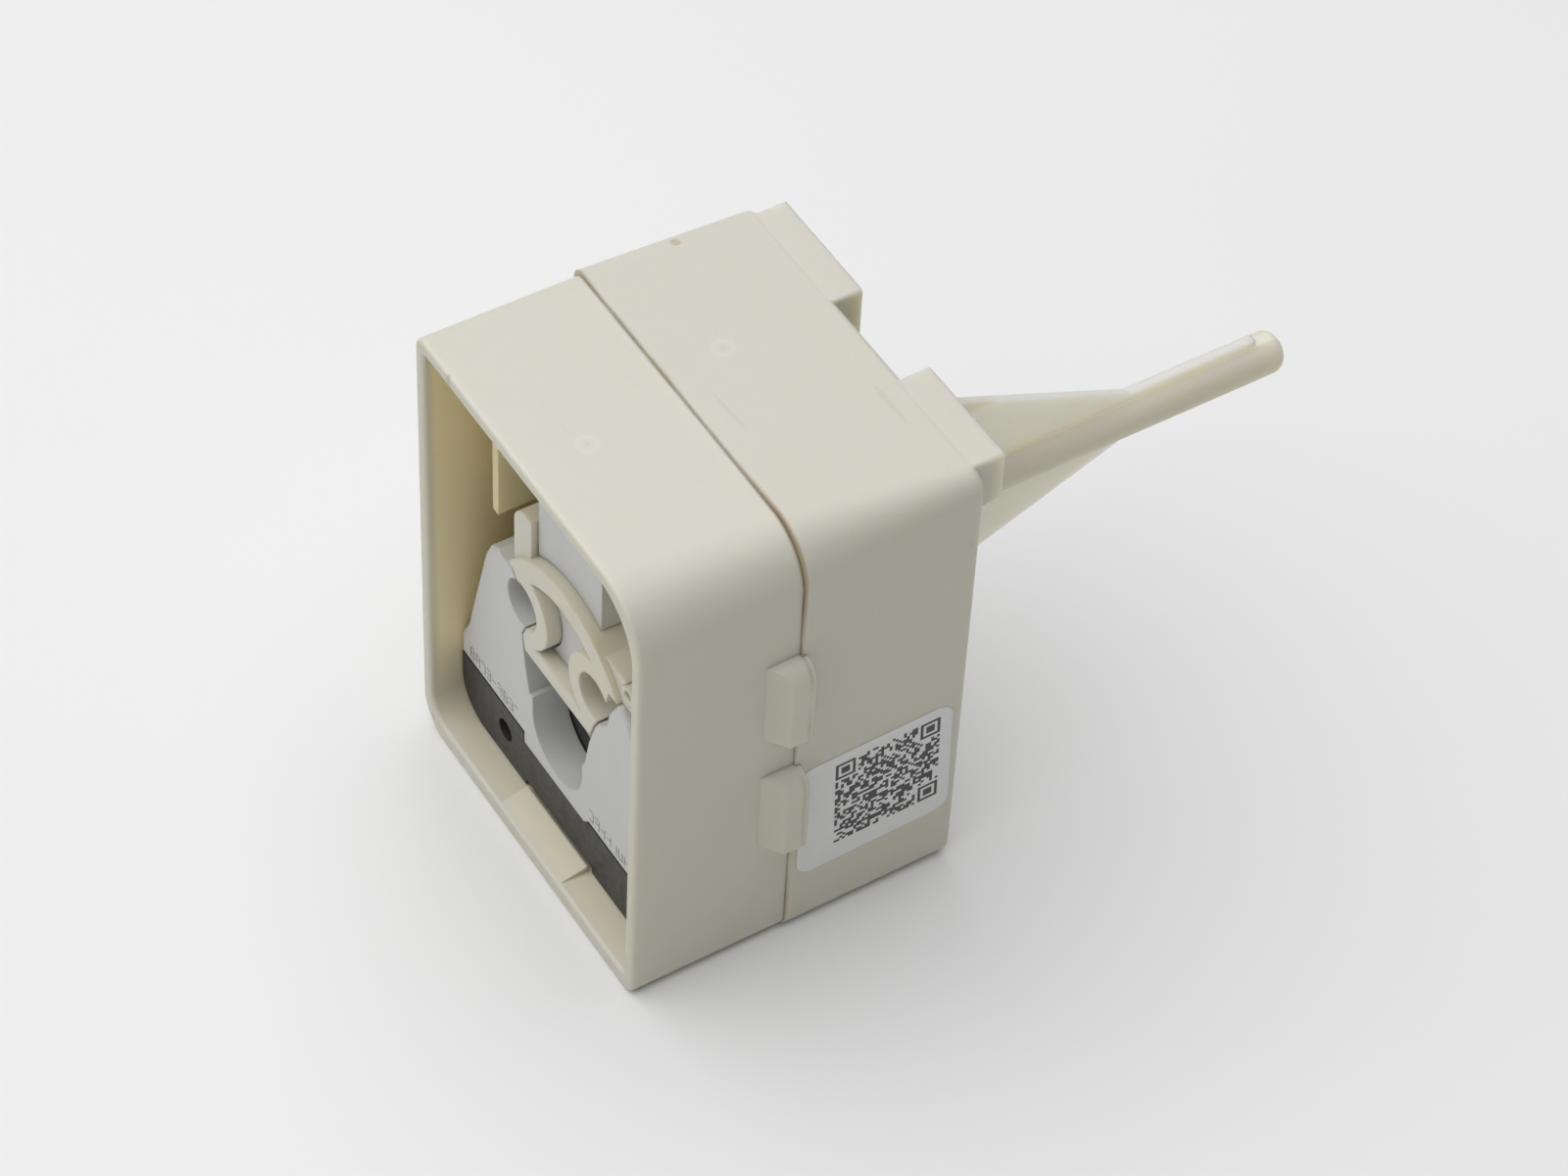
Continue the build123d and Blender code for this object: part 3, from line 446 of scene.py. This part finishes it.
CODE_MODULES = 37
CODE_SIDE = 13.9 * MM
CODE_CENTRE = Vector((LABEL_X, RIM_Y + 32.9 * MM, rear_low.z + 19.6 * MM))
LABEL_TURN = math.radians(1.8)
FINDER = 7  # modules along one side of a corner ring
INK_PROUD = 0.02 * MM
INK_SUNK = 0.01 * MM


def in_finder(column, row):
    """Whether a module belongs to one of the three square rings, and if so whether it is dark."""
    last = CODE_MODULES - FINDER
    middle = FINDER // 2
    for left, low in ((0, last), (last, last), (last, 0)):
        across, up = column - left, row - low
        if -1 <= across <= FINDER and -1 <= up <= FINDER:
            ring = max(abs(across - middle), abs(up - middle))
            return True, ring == middle or ring <= 1
    return False, False


def dark_runs(draw, row):
    """Runs of dark modules along one row, as pairs of first column and length."""
    start = None
    for column in range(CODE_MODULES + 1):
        inside, dark = in_finder(column, row) if column < CODE_MODULES else (True, False)
        if not inside:
            dark = draw.random() < 0.5
        if dark and start is None:
            start = column
        if not dark and start is not None:
            yield start, column - start
            start = None


def label_print():
    """A meaningless seeded pattern of square blocks printed on the label."""
    draw = random.Random(7)
    builder = bmesh.new()
    module = CODE_SIDE / CODE_MODULES
    along = Vector((0, math.cos(LABEL_TURN), math.sin(LABEL_TURN)))
    up = Vector((0, -math.sin(LABEL_TURN), math.cos(LABEL_TURN)))
    origin = CODE_CENTRE - (along + up) * CODE_SIDE / 2
    for row in range(CODE_MODULES):
        for first, length in dark_runs(draw, row):
            low = origin + along * module * first + up * module * (row + 0.02)
            wide = along * module * length
            tall = up * module * 0.96
            outline = [low, low + wide, low + wide + tall, low + tall]
            add_plate(builder, outline, Vector((-INK_SUNK, 0, 0)), Vector((INK_PROUD, 0, 0)))
    return finish_mesh(builder, "label_print", label_ink, "housing")


STROKE = 0.16 * MM
GLYPH_CELL = 0.8 * MM
GLYPH_STEP = 1.3 * MM
GLYPHS_ON_A_WING = 9
WING_ROWS = (Vector((-20.2 * MM, FACE_Y, 12.6 * MM)), Vector((7.4 * MM, FACE_Y, 11.8 * MM)))
# Where a glyph's strokes may stand: column, row, and whether the stroke lies flat.
GLYPH_STROKES = ((0, 0, False), (0, 0, True), (0, 1, True), (1, 0, False), (0, 2, True))


def wing_strokes():
    """Faint row of meaningless strokes on each wing of the protector's cover."""
    draw = random.Random(11)
    builder = bmesh.new()
    for start in WING_ROWS:
        for index in range(GLYPHS_ON_A_WING):
            for column, row, lies_flat in GLYPH_STROKES:
                if draw.random() < 0.42:
                    continue
                low = start + Vector((index * GLYPH_STEP + column * GLYPH_CELL, 0, row * GLYPH_CELL))
                wide = Vector((GLYPH_CELL if lies_flat else STROKE, 0, 0))
                tall = Vector((0, 0, STROKE if lies_flat else 2 * GLYPH_CELL))
                outline = [low, low + wide, low + wide + tall, low + tall]
                add_plate(builder, outline, Vector((0, INK_SUNK, 0)), Vector((0, -INK_PROUD, 0)))
    return finish_mesh(builder, "wing_strokes", wing_ink, "protector")


label_print()
wing_strokes()

# ---- Stage: a pale floor, soft light and a long lens from the upper right front ----
FLOOR_HALF = 3.0
WORLD_STRENGTH = 0.17
KEY_PLACE = Vector((-0.26, -0.26, 1.2))
KEY_TARGET = Vector((0, 0, 0.03))
KEY_DIAMETER = 2.3
KEY_POWER = 22.8
LENS = 110.8
SENSOR_WIDTH = 36.0
CAMERA_FROM_RIM = Vector((305.3, -173.3, 439.9)) * MM
CAMERA_FORWARD = Vector((-0.5516, 0.3748, -0.7452))
CAMERA_UP = Vector((-0.6481, 0.3699, 0.6657))


def add_floor():
    builder = bmesh.new()
    bmesh.ops.create_grid(builder, x_segments=4, y_segments=4, size=FLOOR_HALF)
    mesh = bpy.data.meshes.new("floor")
    builder.to_mesh(mesh)
    builder.free()
    mesh.materials.append(backdrop)
    floor = bpy.data.objects.new("floor", mesh)
    floor.location.z = cad_bounds[0][2]
    collection.objects.link(floor)


def add_world():
    world = bpy.data.worlds.new("studio")
    world.use_nodes = True
    background = world.node_tree.nodes["Background"]
    background.inputs["Color"].default_value = SKY
    background.inputs["Strength"].default_value = WORLD_STRENGTH
    bpy.context.scene.world = world


def add_key_light():
    data = bpy.data.lights.new("key", "AREA")
    data.shape = "DISK"
    data.size = KEY_DIAMETER
    data.energy = KEY_POWER
    light = bpy.data.objects.new("key", data)
    light.location = KEY_PLACE
    light.rotation_euler = (KEY_TARGET - KEY_PLACE).to_track_quat("-Z", "Y").to_euler()
    collection.objects.link(light)


def add_camera():
    """Camera that looks down on the rim, rolled by a few degrees."""
    data = bpy.data.cameras.new("camera")
    data.sensor_width = SENSOR_WIDTH
    data.lens = LENS
    data.clip_start = 0.02
    data.clip_end = 20.0
    camera = bpy.data.objects.new("camera", data)
    collection.objects.link(camera)
    forward = CAMERA_FORWARD.normalized()
    right = forward.cross(CAMERA_UP).normalized()
    turn = Matrix((right, right.cross(forward), -forward)).transposed().to_4x4()
    camera.matrix_world = Matrix.Translation(Vector((0, RIM_Y, 0)) + CAMERA_FROM_RIM) @ turn
    bpy.context.scene.camera = camera


add_floor()
add_world()
add_key_light()
add_camera()
bpy.context.scene.view_settings.view_transform = "Standard"
